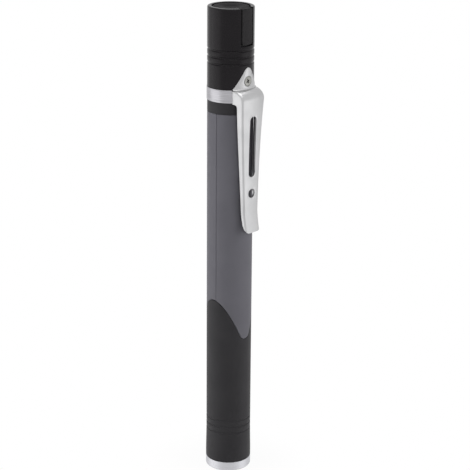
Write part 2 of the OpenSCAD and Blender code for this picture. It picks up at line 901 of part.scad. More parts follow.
barrel();
front_panel();
rear_panel();
bezel();
bezel_seal();
lens();
lens_gasket();
reflector();
lamp_chip();
lamp_board();
heat_sink();
lamp_leads();
driver_board();
driver_parts();
ground_tube();
contact_insulator();
positive_contact();
lower_cell();
upper_cell();
contact_strip();
neck_seal();
head_shell();
collar();
clip_tab();
clip_screw();
spring_plate();
cell_spring();
contact_ring();
floor_rivets();
switch_board();
switch_body();
switch_plunger();
guide_bush();
button_spring();
push_button();
retaining_ring();
clip_leaf();
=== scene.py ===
import json
import math

import bmesh
import bpy
from mathutils import Matrix, Vector


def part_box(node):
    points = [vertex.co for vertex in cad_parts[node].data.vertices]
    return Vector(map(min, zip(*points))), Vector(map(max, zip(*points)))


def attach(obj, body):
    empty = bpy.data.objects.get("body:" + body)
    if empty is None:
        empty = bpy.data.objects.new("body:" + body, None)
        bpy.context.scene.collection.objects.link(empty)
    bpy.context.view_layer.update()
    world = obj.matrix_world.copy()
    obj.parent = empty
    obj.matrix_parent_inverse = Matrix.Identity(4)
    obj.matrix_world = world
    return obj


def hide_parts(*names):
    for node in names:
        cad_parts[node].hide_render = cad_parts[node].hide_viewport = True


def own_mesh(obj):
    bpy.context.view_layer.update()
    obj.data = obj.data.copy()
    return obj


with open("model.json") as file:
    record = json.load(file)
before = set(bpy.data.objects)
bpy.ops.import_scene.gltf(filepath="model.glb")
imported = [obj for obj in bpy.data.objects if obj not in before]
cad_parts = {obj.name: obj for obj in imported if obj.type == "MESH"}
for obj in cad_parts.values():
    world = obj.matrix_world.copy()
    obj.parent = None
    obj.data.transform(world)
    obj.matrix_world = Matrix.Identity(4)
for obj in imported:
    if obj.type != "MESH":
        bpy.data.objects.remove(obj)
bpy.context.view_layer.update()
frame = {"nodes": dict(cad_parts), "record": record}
scene = bpy.context.scene
mm = 0.001
print("frame loaded:", len(frame["nodes"]), "nodes")


# materials

def hexColour(code):
    parts = [int(code[i:i + 2], 16) / 255 for i in (1, 3, 5)]
    linear = [c / 12.92 if c <= 0.04045 else ((c + 0.055) / 1.055) ** 2.4 for c in parts]
    return (*linear, 1.0)


def addNode(material, kind, settings=None, links=None):
    tree = material.node_tree
    node = tree.nodes.new(kind)
    for key, value in (settings or {}).items():
        if isinstance(key, int) or key in node.inputs:
            node.inputs[key].default_value = value
        else:
            setattr(node, key, value)
    for socket, (source, output) in (links or {}).items():
        tree.links.new(source.outputs[output], node.inputs[socket])
    return node


def newMaterial(name, settings):
    material = bpy.data.materials.new(name)
    material.use_nodes = True
    material.node_tree.nodes.clear()
    shader = addNode(material, "ShaderNodeBsdfPrincipled", settings)
    addNode(material, "ShaderNodeOutputMaterial", links={"Surface": (shader, "BSDF")})
    return material, shader


def perMm(size):
    return 1 / (size * mm)  # texture scale for a pattern of this size in millimetres


# Gives the shader its colour from one pattern, and its roughness and bump (depth in millimetres) from another
def addFinish(material, shader, broad, fine, colours, rough, bump, depth):
    tint = addNode(material, "ShaderNodeValToRGB", links={"Fac": (broad, "Fac")})
    for stop, position, code in zip(tint.color_ramp.elements, (0.3, 0.7), colours):
        stop.position = position
        stop.color = hexColour(code)
    gloss = addNode(
        material, "ShaderNodeMapRange", {"To Min": rough[0], "To Max": rough[1]}, {"Value": (fine, "Fac")})
    relief = addNode(
        material, "ShaderNodeBump", {"Strength": bump, "Distance": depth * mm}, {"Height": (fine, "Fac")})
    joins = (tint, "Color", "Base Color"), (gloss, "Result", "Roughness"), (relief, "Normal", "Normal")
    for source, output, socket in joins:
        material.node_tree.links.new(source.outputs[output], shader.inputs[socket])


# A grain that follows no direction: colour and roughness drift, with a fine bump
def addGrain(material, shader, dark, light, rough, grain, drift, bump):
    place = addNode(material, "ShaderNodeTexCoord")
    fine, broad = [
        addNode(
            material, "ShaderNodeTexNoise", {"Scale": perMm(size), "Detail": detail}, {"Vector": (place, "Object")})
        for size, detail in ((grain, 3.0), (drift, 4.0))]
    addFinish(material, shader, broad, fine, (dark, light), rough, bump, 0.05)


# Fine lines from turning or brushing: noise stretched level by the length and upright by the width, in millimetres
def addLines(material, shader, dark, light, rough, length, width, bump):
    stretch = (perMm(length), perMm(length), perMm(width))
    place = addNode(material, "ShaderNodeTexCoord")
    turned = addNode(material, "ShaderNodeMapping", {"Scale": stretch}, {"Vector": (place, "Object")})
    settings = {"Scale": 1.0, "Detail": 4.0, "Roughness": 0.65}
    lines = addNode(material, "ShaderNodeTexNoise", settings, {"Vector": (turned, "Vector")})
    addFinish(material, shader, lines, lines, (dark, light), rough, bump, 0.03)


# Moulded ABS of the head, polished mould: near black, soft strips of light along its sides
blackAbs, shader = newMaterial("mouldedBlackAbs", {"IOR": 1.5, "Specular IOR Level": 0.16})
addGrain(blackAbs, shader, "#0f0c0f", "#141114", (0.22, 0.32), 0.25, 9.0, 0.08)

# The button is moulded in a matte, etched mould: dull even where it is seen along its face
mattAbs, shader = newMaterial("etchedBlackAbs", {"IOR": 1.5, "Specular IOR Level": 0.03})
addGrain(mattAbs, shader, "#2a292a", "#302f30", (0.55, 0.68), 0.25, 5.0, 0.15)

# The barrel's ABS has a spark-eroded skin: a greyer black, no sharp highlight
erodedAbs, shader = newMaterial("sparkErodedBlackAbs", {"IOR": 1.5, "Specular IOR Level": 0.15})
addGrain(erodedAbs, shader, "#272628", "#2d2c2e", (0.45, 0.58), 0.25, 9.0, 0.15)

# ABS under a soft-touch lacquer: even dark grey with a faint violet cast, no sharp highlight
greyLacquer, shader = newMaterial("softTouchGreyLacquer", {"IOR": 1.45, "Specular IOR Level": 0.2})
addGrain(greyLacquer, shader, "#5a595f", "#605f65", (0.5, 0.6), 0.2, 14.0, 0.08)

# Turned and satin plated brass: bright rings round the axis
turnedBezel, shader = newMaterial("turnedSatinNickel", {"Metallic": 1.0})
addLines(turnedBezel, shader, "#b4b4b8", "#c5c5c9", (0.4, 0.52), 9.0, 0.12, 0.15)

# Stainless band brushed round its axis: streaks that run level
brushedBand, shader = newMaterial("brushedStainlessBand", {"Metallic": 1.0})
addLines(brushedBand, shader, "#939296", "#b9b8bc", (0.24, 0.42), 7.0, 0.16, 0.25)

# Spring steel, bead blasted and plated: pale, even satin
blastedSteel, shader = newMaterial("beadBlastedSteel", {"Metallic": 0.8})
addGrain(blastedSteel, shader, "#afafb0", "#b9b9ba", (0.3, 0.38), 0.12, 6.0, 0.1)

# Zinc plated steel of a small screw: duller and greyer than the clip
platedScrew, shader = newMaterial("zincPlatedSteel", {"Metallic": 1.0})
addGrain(platedScrew, shader, "#8d8d89", "#a2a29e", (0.38, 0.5), 0.1, 1.2, 0.1)

# Drawn and rolled spring steel inside the light: a bright wire with a soft sheen
drawnSteel, shader = newMaterial("drawnSpringSteel", {"Metallic": 1.0})
addGrain(drawnSteel, shader, "#a8a8a5", "#bcbcb9", (0.25, 0.38), 0.15, 3.0, 0.1)

# Stamped brass contacts: warm yellow, a little tarnished
stampedBrass, shader = newMaterial("stampedBrass", {"Metallic": 1.0})
addGrain(stampedBrass, shader, "#b08d48", "#cba75c", (0.22, 0.36), 0.15, 3.0, 0.1)

# Bare turned aluminium of the lamp's inside: cool grey with level rings
bareAluminium, shader = newMaterial("turnedAluminium", {"Metallic": 1.0})
addLines(bareAluminium, shader, "#b4b6b9", "#cbcdd0", (0.25, 0.4), 8.0, 0.2, 0.15)

# Printed film round the cells: plain blue with a faint metal sheen
printedJacket, shader = newMaterial("printedCellJacket", {"Metallic": 0.3})
addGrain(printedJacket, shader, "#2f5f7d", "#37698a", (0.28, 0.36), 0.3, 12.0, 0.05)

# Nitrile rubber seal rings: matte, nearly black
nitrileRubber, shader = newMaterial("nitrileRubber", {"IOR": 1.52})
addGrain(nitrileRubber, shader, "#171718", "#1f1f20", (0.6, 0.75), 0.1, 2.0, 0.1)

# Polished clear lens: only its reflections and a cool edge show
clearLens, shader = newMaterial("polishedClearAcrylic", {"IOR": 1.49, "Transmission Weight": 1.0})
addGrain(clearLens, shader, "#f4f8fb", "#ffffff", (0.01, 0.03), 0.5, 10.0, 0.0)

# Vacuum plated plastic: a mirror with a faint orange peel
platedMirror, shader = newMaterial("vacuumPlatedReflector", {"Metallic": 1.0})
addGrain(platedMirror, shader, "#dadcdf", "#e4e6e8", (0.06, 0.12), 0.6, 5.0, 0.06)

# Yellow phosphor layer of the lamp: chalky and bright
phosphor, shader = newMaterial("yellowPhosphor", {"IOR": 1.5})
addGrain(phosphor, shader, "#e8c23c", "#f2d35a", (0.4, 0.55), 0.08, 0.6, 0.1)

# Green solder resist on fibreglass: deep green with a soft gloss
solderResist, shader = newMaterial("greenSolderResist", {"IOR": 1.5})
addGrain(solderResist, shader, "#235a38", "#2c6a44", (0.3, 0.42), 0.2, 3.0, 0.08)

# Black moulded epoxy of small components: charcoal and dull
mouldedEpoxy, shader = newMaterial("mouldedBlackEpoxy", {"IOR": 1.55})
addGrain(mouldedEpoxy, shader, "#29292b", "#333335", (0.5, 0.65), 0.12, 1.5, 0.1)

# Natural nylon: warm white, slightly waxy
naturalNylon, shader = newMaterial(
    "naturalNylon", {"IOR": 1.53, "Subsurface Weight": 0.1, "Subsurface Radius": (0.6 * mm,) * 3})
addGrain(naturalNylon, shader, "#dcd8cc", "#e6e2d8", (0.4, 0.52), 0.2, 4.0, 0.06)

slotMaterials = {
    "black_plastic": blackAbs, "grey_plastic": greyLacquer, "bright_metal": turnedBezel, "brushed_metal": brushedBand,
    "clip_steel": blastedSteel, "screw_steel": platedScrew, "spring_steel": drawnSteel, "contact_brass": stampedBrass,
    "bare_aluminium": bareAluminium, "cell_jacket": printedJacket, "seal_rubber": nitrileRubber,
    "lens_glass": clearLens, "reflector_plating": platedMirror, "lamp_phosphor": phosphor, "board_green": solderResist,
    "component_black": mouldedEpoxy, "white_nylon": naturalNylon,
}
for part in frame["record"]["subparts"]:
    node = frame["nodes"][part["node"]]
    node.data.materials.clear()
    node.data.materials.append(slotMaterials[part["material_slot"]])
print("materials made:", len(slotMaterials))


# tools for the pieces; all shapes are drawn in millimetres

def turnProfile(bm, points, steps, start=0.0, sweep=360.0, closed=False, rise=0.0):
    across = Vector((math.cos(math.radians(start)), math.sin(math.radians(start)), 0))
    verts = [bm.verts.new(across * r + Vector((0, 0, z))) for r, z in points]
    pairs = list(zip(verts, verts[1:])) + ([(verts[-1], verts[0])] if closed else [])
    edges = [bm.edges.new(pair) for pair in pairs]
    full = abs(sweep - 360) < 1e-6 and not rise
    bmesh.ops.spin(
        bm, geom=verts + edges, cent=(0, 0, 0), axis=(0, 0, 1), dvec=(0, 0, rise / steps),
        angle=math.radians(sweep), steps=steps, use_merge=full, use_duplicate=False)
    bmesh.ops.remove_doubles(bm, verts=bm.verts, dist=1e-4)


def arcPoints(x, y, r, start, end, steps):
    turns = [math.radians(start + (end - start) * i / steps) for i in range(steps + 1)]
    return [(x + r * math.cos(t), y + r * math.sin(t)) for t in turns]


def bevelEdges(bm, edges, width, segments):
    bmesh.ops.bevel(
        bm, geom=edges, offset=width, offset_type="OFFSET", segments=segments, profile=0.5,
        affect="EDGES", material=-1, clamp_overlap=True)


# Rounds the edges that turn by more than the limit, in degrees, where the test allows it
def roundEdges(bm, width, segments=3, limit=45.0, where=None):
    edges = [e for e in bm.edges if len(e.link_faces) == 2 and e.calc_face_angle(0) > math.radians(limit)]
    if where:
        edges = [e for e in edges if all(where(v.co) for v in e.verts)]
    bevelEdges(bm, edges, width, segments)


# Cuts all faces along planes square to an axis: 0 for x, 2 for z
def cutAcross(bm, positions, axis=0):
    for position in positions:
        along = [0, 0, 0]
        along[axis] = 1
        bmesh.ops.bisect_plane(
            bm, geom=bm.verts[:] + bm.edges[:] + bm.faces[:], dist=1e-5, plane_co=Vector(along) * position,
            plane_no=along)


def vertsOf(geom):
    return [item for item in geom if isinstance(item, bmesh.types.BMVert)]


# Closes a ring of points in the order given and returns its edges
def addRing(bm, points):
    verts = [bm.verts.new(point) for point in points]
    return [bm.edges.new((verts[i], verts[i - 1])) for i in range(len(verts))]


# Gives a flat sheet its thickness, and keeps the sheet as one of its faces
def thickenFlat(bm, shift):
    grown = bmesh.ops.extrude_face_region(bm, geom=bm.faces[:], use_keep_orig=True)
    bmesh.ops.translate(bm, vec=shift, verts=vertsOf(grown["geom"]))


# Thickens a curved sheet towards the barrel axis
def thickenInwards(bm, thickness):
    bmesh.ops.recalc_face_normals(bm, faces=bm.faces)
    outward = 0
    for face in bm.faces:
        middle = face.calc_center_median()
        outward += face.normal.dot(Vector((middle.x, middle.y, 0)))
    if outward < 0:
        bmesh.ops.reverse_faces(bm, faces=bm.faces)
    bmesh.ops.solidify(bm, geom=bm.faces[:], thickness=thickness)


# Adds another bmesh to this one and frees it
def joinInto(bm, other):
    mesh = bpy.data.meshes.new("joined")
    other.to_mesh(mesh)
    other.free()
    bm.from_mesh(mesh)
    bpy.data.meshes.remove(mesh)


# Bends a flat piece round the barrel axis: x stays, y is the depth below the radius r
def wrapRound(bm, r):
    for v in bm.verts:
        v.co.y = -math.sqrt((r - v.co.y) ** 2 - v.co.x ** 2)


# Turns each closed shell's faces outwards; a shell that encloses less than nothing is reversed
def faceOutwards(bm):
    bmesh.ops.recalc_face_normals(bm, faces=bm.faces)
    left = set(bm.faces)
    while left:
        shell, reached = [], [left.pop()]
        while reached:
            face = reached.pop()
            shell.append(face)
            near = {other for e in face.edges for other in e.link_faces} & left
            left -= near
            reached += near
        if sum(f.calc_center_median().dot(f.normal) * f.calc_area() for f in shell) < 0:
            bmesh.ops.reverse_faces(bm, faces=shell)


def makePiece(bm, name, body, slot, replaced=(), material=None):
    bmesh.ops.dissolve_degenerate(bm, dist=1e-4, edges=bm.edges)
    faceOutwards(bm)
    bmesh.ops.scale(bm, vec=(mm, mm, mm), verts=bm.verts)
    for face in bm.faces:
        face.smooth = True
    mesh = bpy.data.meshes.new(name)
    bm.to_mesh(mesh)
    bm.free()
    mesh.materials.append(material or slotMaterials[slot])
    piece = bpy.data.objects.new(name, mesh)
    scene.collection.objects.link(piece)
    even = piece.modifiers.new("evenNormals", "WEIGHTED_NORMAL")
    even.weight = 80
    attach(piece, body)
    if replaced:
        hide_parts(*replaced)
    return piece


# Profile of a set of grooves: lowEdge and highEdge round their lower and upper rims
def grooveLine(r, starts, width, depth, lowEdge, highEdge):
    points = []
    for z in starts:
        points += arcPoints(r - lowEdge, z - lowEdge, lowEdge, 0, 90, 4)
        points += [(r - depth, z), (r - depth, z + width)]
        points += arcPoints(r - highEdge, z + width + highEdge, highEdge, -90, 0, 3)
    return points


# barrel and grey panels

barrelSize = {
    "foot": 3.4, "footR": 8.1, "straightTop": 6.4, "r": 7.95, "coreR": 6.75, "bore": 5.5,
    "grooves": (14.5, 16.85, 19.2), "grooveW": 0.6, "grooveDepth": 0.12, "grooveEdge": 0.1, "plainFrom": 24.0,
    "footBore": 6.9, "footTop": 22.0, "waveRows": 4, "coreLow": 37.0,
    "panelTop": 132.8, "seam": 136.8, "neckR": 6.15, "neckTop": 141.15,
    "tipZ": 50.7, "tipR": 2.4, "flank": 23.5, "columns": 192, "edge": 0.14,
    "thread": {
        "r": 6.4, "rootR": 6.1, "low": 137.1, "rises": (0, 0.25, 0.45, 0.7), "turns": 3, "pitch": 1.0, "columns": 72,
    },
}


# Height of the line between the black barrel and the grey panels
def waveHeight(x):
    size = barrelSize
    flank = math.radians(size["flank"])
    touch = size["tipR"] * math.cos(flank)
    centre = size["tipZ"] + size["tipR"]
    if abs(x) < touch:
        return centre - math.sqrt(size["tipR"] ** 2 - x * x)
    return centre - size["tipR"] * math.sin(flank) + (abs(x) - touch) / math.tan(flank)


bm = bmesh.new()
size = barrelSize
plain, rows = size["plainFrom"], size["waveRows"]
outside = [(size["footBore"], size["foot"]), (size["footR"], size["foot"]), (size["footR"], size["straightTop"])]
outside += grooveLine(
    size["r"], size["grooves"], size["grooveW"], size["grooveDepth"], size["grooveEdge"], size["grooveEdge"])
outside += [(size["r"], plain + i) for i in range(rows + 1)]
outside += [(size["coreR"], plain + rows), (size["coreR"], plain), (size["footBore"], size["footTop"])]
turnProfile(bm, outside, size["columns"], closed=True)
for v in bm.verts:  # the upper rows rise to the wave
    share = (v.co.z - plain) / rows
    if share > 0:
        v.co.z = plain + share * (waveHeight(v.co.x) - plain)
roundEdges(bm, size["edge"], limit=35, where=lambda co: co.z < size["grooves"][0] - 1 or co.z > plain)
core = bmesh.new()
neck = [(size["bore"], size["coreLow"]), (size["coreR"], size["coreLow"]), (size["coreR"], size["panelTop"])]
neck += [(size["r"], size["panelTop"]), (size["r"], size["seam"]), (size["neckR"], size["seam"])]
neck += [(size["neckR"], size["neckTop"]), (size["bore"], size["neckTop"])]
turnProfile(core, neck, size["columns"], closed=True)
roundEdges(core, size["edge"], limit=35)
size = barrelSize["thread"]
ridgeR = (size["rootR"], size["r"], size["r"], size["rootR"])
ridge = [(r, size["low"] + rise) for r, rise in zip(ridgeR, size["rises"])]
turnProfile(
    core, ridge, size["columns"] * size["turns"], sweep=360 * size["turns"], closed=True,
    rise=size["pitch"] * size["turns"])
bmesh.ops.holes_fill(core, edges=[e for e in core.edges if e.is_boundary], sides=4)
joinInto(bm, core)
makePiece(bm, "barrelBody", "barrel", "black_plastic", ["barrel"], erodedAbs)

panelSize = {
    "gap": 0.1, "lowGap": 0.16, "thick": 1.1, "edge": 0.13,
    "rows": (0, 0.02, 0.06, 0.14, 0.3, 0.5, 0.7, 0.85, 0.97, 1),
    "halves": {
        "frontPanel": {"node": "front_panel", "start": 188.15, "sweep": 163.7, "columns": 96},
        "rearPanel": {"node": "rear_panel", "start": -7.65, "sweep": 195.3, "columns": 112},
    },
}
size = panelSize
for name, panel in size["halves"].items():
    bm = bmesh.new()
    line = [(barrelSize["r"], share) for share in size["rows"]]
    turnProfile(bm, line, panel["columns"], panel["start"], panel["sweep"])
    top = barrelSize["panelTop"] - size["gap"]
    for v in bm.verts:
        low = waveHeight(v.co.x) + size["lowGap"]
        v.co.z = low + v.co.z * (top - low)
    thickenInwards(bm, size["thick"])
    roundEdges(bm, size["edge"], limit=50)
    makePiece(bm, name, "barrel", "grey_plastic", [panel["node"]])
print("barrel and panels made")


# lamp end

bezelSize = {
    "r": 8.1, "top": 3.34, "edge": 0.5, "lipR": 5.25, "lip": 1.2, "seatR": 6.05, "spigotR": 6.8, "spigotTop": 8.4,
    "smallEdge": 0.12, "columns": 160,
}
size = bezelSize
bm = bmesh.new()
ring = [(size["lipR"] + size["lip"] / 2, 0)]
ring += arcPoints(size["r"] - size["edge"], size["edge"], size["edge"], -90, 0, 6)
ring += [(size["r"], size["top"]), (size["spigotR"], size["top"]), (size["spigotR"], size["spigotTop"])]
ring += [(size["seatR"], size["spigotTop"]), (size["seatR"], size["lip"])]
ring += [(size["lipR"], size["lip"]), (size["lipR"], size["lip"] / 2)]
turnProfile(bm, ring, size["columns"], closed=True)
roundEdges(bm, size["smallEdge"], limit=40)
makePiece(bm, "bezelRing", "barrel", "bright_metal", ["bezel"])

lensSize = {
    "r": 6.0, "low": 1.2, "high": 3.0, "clearR": 5.25, "crown": 0.6, "steps": 16, "edge": 0.08, "columns": 96,
}
size = lensSize
ball = (size["clearR"] ** 2 + size["crown"] ** 2) / (2 * size["crown"])
bm = bmesh.new()
disc = [(0, size["low"]), (size["r"], size["low"]), (size["r"], size["high"])]
for i in range(size["steps"] + 1):
    r = size["clearR"] * (1 - i / size["steps"])
    disc.append((r, size["high"] - size["crown"] + ball - math.sqrt(ball ** 2 - r * r)))
turnProfile(bm, disc, size["columns"])
roundEdges(bm, size["edge"], limit=60)
makePiece(bm, "lensDisc", "barrel", "lens_glass", ["lens"])

reflectorSize = {
    "mouth": 5.25, "throat": 2.7, "low": 3.6, "high": 13.0, "steps": 48, "columns": 128,
    "flangeR": 6.0, "flangeTop": 4.4, "backR": 5.85, "neckR": 3.7, "neckLow": 12.2,
}
size = reflectorSize
bm = bmesh.new()
bowl = []
for i in range(size["steps"] + 1):
    share = i / size["steps"]
    r = size["throat"] + (size["mouth"] - size["throat"]) * math.sqrt(share)
    bowl.append((r, size["high"] - (size["high"] - size["low"]) * share))
back = [(size["flangeR"], size["low"]), (size["flangeR"], size["flangeTop"]), (size["backR"], size["flangeTop"])]
back += [(size["neckR"], size["neckLow"]), (size["neckR"], size["high"])]
turnProfile(bm, bowl + back, size["columns"], closed=True)
makePiece(bm, "reflectorBowl", "barrel", "reflector_plating", ["reflector"])


# A square plate with rounded edges, its upper face at this height
def addPlate(side, thick, edge, top):
    bm = bmesh.new()
    bmesh.ops.create_cube(bm, size=1)
    bmesh.ops.scale(bm, vec=(side, side, thick), verts=bm.verts)
    roundEdges(bm, edge)
    bmesh.ops.translate(bm, vec=(0, 0, top - thick / 2), verts=bm.verts)
    return bm


lampSize = {
    "side": 3.4, "foot": 13.0, "base": 0.55, "baseEdge": 0.12, "glow": 2.1, "glowT": 0.12, "glowEdge": 0.03,
    "domeR": 1.13, "domeGap": 0.03, "domeSteps": 12, "columns": 48,
}
size = lampSize
bm = addPlate(size["side"], size["base"], size["baseEdge"], size["foot"])
makePiece(bm, "lampBase", "barrel", "white_nylon", material=naturalNylon)
bm = addPlate(size["glow"], size["glowT"], size["glowEdge"], size["foot"] - size["base"])
makePiece(bm, "lampPhosphor", "barrel", "lamp_phosphor", ["lamp_chip"])
bm = bmesh.new()
level = size["foot"] - size["base"] - size["glowT"] - size["domeGap"]
dome = arcPoints(0, level, size["domeR"], 0, -90, size["domeSteps"])
turnProfile(bm, [(0, level)] + dome[:-1] + [(0, level - size["domeR"])], size["columns"])
makePiece(bm, "lampDome", "barrel", "lens_glass", material=clearLens)
print("lamp end made")


# head, collar and button

headSize = {
    "r": 8.0, "foot": 141.34, "top": 168.7, "wall": 1.4, "grooves": (149.5, 151.78, 154.06), "grooveW": 0.6,
    "grooveDepth": 0.25, "grooveEdge": 0.24, "slotHalf": 2.95, "slotFoot": 155.8, "slotEdge": 0.22,
    "columns": 150, "slotColumns": 20, "rim": 0.45, "edge": 0.13,
    "skirt": {"bore": 6.48, "r": 7.35, "low": 136.9, "high": 141.6, "plugR": 6.5, "plugTop": 146.6, "columns": 96},
}
size = headSize
bm = bmesh.new()
innerR = size["r"] - size["wall"]
foot = [(innerR, size["foot"])]
foot += arcPoints(size["r"] - size["edge"], size["foot"] + size["edge"], size["edge"], -90, 0, 3)
foot += grooveLine(
    size["r"], size["grooves"], size["grooveW"], size["grooveDepth"], size["grooveEdge"], size["edge"])
foot += [(size["r"], size["slotFoot"])]
rim = arcPoints(size["r"] - size["rim"], size["top"] - size["rim"], size["rim"], 0, 90, 5)
rim += arcPoints(innerR + size["edge"], size["top"] - size["edge"], size["edge"], 90, 180, 3)
ledge = [(innerR, size["slotFoot"])]
slotTurn = math.degrees(math.asin(size["slotHalf"] / size["r"]))
turnProfile(bm, foot + rim + ledge, size["columns"], slotTurn - 90, 360 - 2 * slotTurn, closed=True)
turnProfile(bm, foot + ledge, size["slotColumns"], -slotTurn - 90, 2 * slotTurn, closed=True)
for v in bm.verts:  # the slot's walls are parallel
    r = math.hypot(v.co.x, v.co.y)
    onWall = v.co.y < 0 and abs(math.degrees(math.asin(abs(v.co.x) / r)) - slotTurn) < 0.05
    if onWall and v.co.z > size["slotFoot"] - 0.01:
        v.co.x = math.copysign(size["slotHalf"], v.co.x)
        v.co.y = -math.sqrt(r * r - v.co.x ** 2)
bmesh.ops.holes_fill(bm, edges=[e for e in bm.edges if e.is_boundary], sides=0)
bmesh.ops.recalc_face_normals(bm, faces=bm.faces)


def onSlotRim(co):
    atWall = co.y < 0 and abs(abs(co.x) - headSize["slotHalf"]) < 0.02
    return atWall and math.hypot(co.x, co.y) > headSize["r"] - 0.02


roundEdges(bm, size["slotEdge"], 3, 50, onSlotRim)
size = headSize["skirt"]
inside = bmesh.new()
skirt = [(0, size["high"]), (size["bore"], size["high"]), (size["bore"], size["low"]), (size["r"], size["low"])]
skirt += [(size["r"], size["high"]), (size["plugR"], size["high"]), (size["plugR"], size["plugTop"])]
turnProfile(inside, skirt + [(0, size["plugTop"])], size["columns"])
joinInto(bm, inside)
makePiece(bm, "headTube", "head", "black_plastic", ["head_shell"])

collarSize = {
    "r": 8.15, "wall": 0.72, "low": 136.88, "middle": 138.6, "high": 141.28, "notchHalf": 5.55, "notchFoot": 140.3,
    "edge": 0.16, "columns": 192,
}
size = collarSize
bm = bmesh.new()
heights = (size["low"], size["middle"], size["notchFoot"], size["high"])
turnProfile(bm, [(size["r"], z) for z in heights], size["columns"])
cutAcross(bm, (-size["notchHalf"], size["notchHalf"]))
gone = []
for face in bm.faces:
    middle = face.calc_center_median()
    if middle.y < 0 and abs(middle.x) < size["notchHalf"] and middle.z > size["notchFoot"]:
        gone.append(face)
bmesh.ops.delete(bm, geom=gone, context="FACES")
thickenInwards(bm, size["wall"])
roundEdges(bm, size["edge"], 3, 50)
makePiece(bm, "collarBand", "head", "brushed_metal", ["collar"])

buttonSize = {
    "r": 6.25, "top": 168.5, "low": 166.5, "rim": 0.3, "dishR": 4.4, "dish": 0.45, "dishSteps": 14, "stepR": 2.6,
    "step": 0.12, "stemR": 2.0, "stemLow": 152.2, "ringR": 1.5, "ringLow": 154.95, "ringHigh": 155.45,
    "stemEdge": 0.06, "columns": 128,
    "tongue": {
        "half": 2.45, "r": 8.0, "thick": 1.2, "low": 156.3, "bridge": 2.3, "corner": 1.0, "topEdge": 0.42,
        "edge": 0.16, "cuts": 8, "cutStep": 0.3,
    },
}
size = buttonSize
bm = bmesh.new()
dishBall = (size["dishR"] ** 2 + size["dish"] ** 2) / (2 * size["dish"])
dish = []
for i in range(size["dishSteps"] + 1):
    r = size["dishR"] * i / size["dishSteps"]
    z = size["top"] - size["dish"] + dishBall - math.sqrt(dishBall ** 2 - r * r)
    dish.append((r, z - (size["step"] if r < size["stepR"] else 0)))
rim = arcPoints(size["r"] - size["rim"], size["top"] - size["rim"], size["rim"], 90, 0, 4)
foot = [(size["r"], size["low"]), (size["stemR"], size["low"]), (size["stemR"], size["ringHigh"])]
foot += [(size["ringR"], size["ringHigh"]), (size["ringR"], size["ringLow"]), (size["stemR"], size["ringLow"])]
foot += [(size["stemR"], size["stemLow"]), (0, size["stemLow"])]
turnProfile(bm, dish + rim + foot, size["columns"])
roundEdges(bm, size["stemEdge"], 2, 40)
discLow, discTop = size["low"], size["top"]
size = buttonSize["tongue"]
tongue = bmesh.new()
outline = [
    (0, size["low"]), (size["thick"], size["low"]), (size["thick"], discLow), (size["bridge"], discLow),
    (size["bridge"], discTop), (0, discTop)]
face = tongue.faces.new([tongue.verts.new((-size["half"], y, z)) for y, z in outline])
grown = bmesh.ops.extrude_face_region(tongue, geom=[face])
bmesh.ops.translate(tongue, vec=(2 * size["half"], 0, 0), verts=vertsOf(grown["geom"]))
bmesh.ops.recalc_face_normals(tongue, faces=tongue.faces)
cornerEdges = []
for e in tongue.edges:
    a, b = e.verts
    level = abs(a.co.z - size["low"]) < 1e-4 and abs(b.co.z - size["low"]) < 1e-4
    if level and abs(a.co.x - b.co.x) < 1e-4:
        cornerEdges.append(e)
bevelEdges(tongue, cornerEdges, size["corner"], 3)
roundEdges(tongue, size["topEdge"], 4, 60, lambda co: co.y < 0.01 and co.z > discTop - 0.01)
roundEdges(tongue, size["edge"], 3, 50)
cutAcross(tongue, [i * size["cutStep"] for i in range(-size["cuts"], size["cuts"] + 1)])
wrapRound(tongue, size["r"])
joinInto(bm, tongue)
makePiece(bm, "buttonCap", "button", "black_plastic", ["push_button"], mattAbs)

# the button's return spring: a merged copy of the CAD coil, with a mesh of its own
low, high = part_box("button_spring")
bm = bmesh.new()
bm.from_mesh(frame["nodes"]["button_spring"].data)
bmesh.ops.scale(bm, vec=(1 / mm, 1 / mm, 1 / mm), verts=bm.verts)
bmesh.ops.remove_doubles(bm, verts=bm.verts, dist=1e-4)
spring = makePiece(bm, "buttonSpring", "head", "spring_steel", ["button_spring"])
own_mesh(spring)
print("head, collar and button made")


# clip: tab, screw and leaf

tabSize = {
    "half": 5.5, "crease": 141.3, "foot": 141.32, "rise": 5.9, "tipR": 1.5, "tipSteps": 10, "outR": 8.3, "sheet": 0.7,
    "screwZ": 144.0, "holeR": 1.76, "holeSteps": 40, "edge": 0.14, "cuts": 15, "cutStep": 0.35,
    "hollow": 0.45, "hollowRows": (0.1, 0.25, 0.45, 0.7, 1.0),
}
size = tabSize
bm = bmesh.new()
touch = math.acos(size["tipR"] / math.hypot(size["half"], size["rise"]))
lean = math.degrees(touch - math.atan2(size["rise"], size["half"]))
outline = [(-size["half"], size["foot"])]
outline += arcPoints(0, size["crease"] + size["rise"], size["tipR"], 180 - lean, lean, size["tipSteps"])
outline += [(size["half"], size["foot"])]
hole = arcPoints(0, size["screwZ"], size["holeR"], 0, 360, size["holeSteps"])[:-1]
rings = addRing(bm, [(x, 0, z) for x, z in outline]) + addRing(bm, [(x, 0, z) for x, z in hole])
bmesh.ops.triangle_fill(bm, edges=rings, use_beauty=True, use_dissolve=False)
thickenFlat(bm, (0, size["sheet"], 0))
bmesh.ops.recalc_face_normals(bm, faces=bm.faces)
roundEdges(bm, size["edge"], 3, 50, lambda co: co.y < 0.01 and co.z > size["foot"] + 0.01)
cutAcross(bm, [i * size["cutStep"] for i in range(-size["cuts"], size["cuts"] + 1)])
cutAcross(bm, [size["foot"] + share * size["hollow"] for share in size["hollowRows"]], axis=2)
for v in bm.verts:  # the foot curves out to meet the leaf
    under = size["foot"] + size["hollow"] - v.co.z
    if under > 0 and v.co.y < size["sheet"] / 2:
        v.co.y -= size["hollow"] - math.sqrt(max(size["hollow"] ** 2 - under ** 2, 0))
wrapRound(bm, size["outR"])
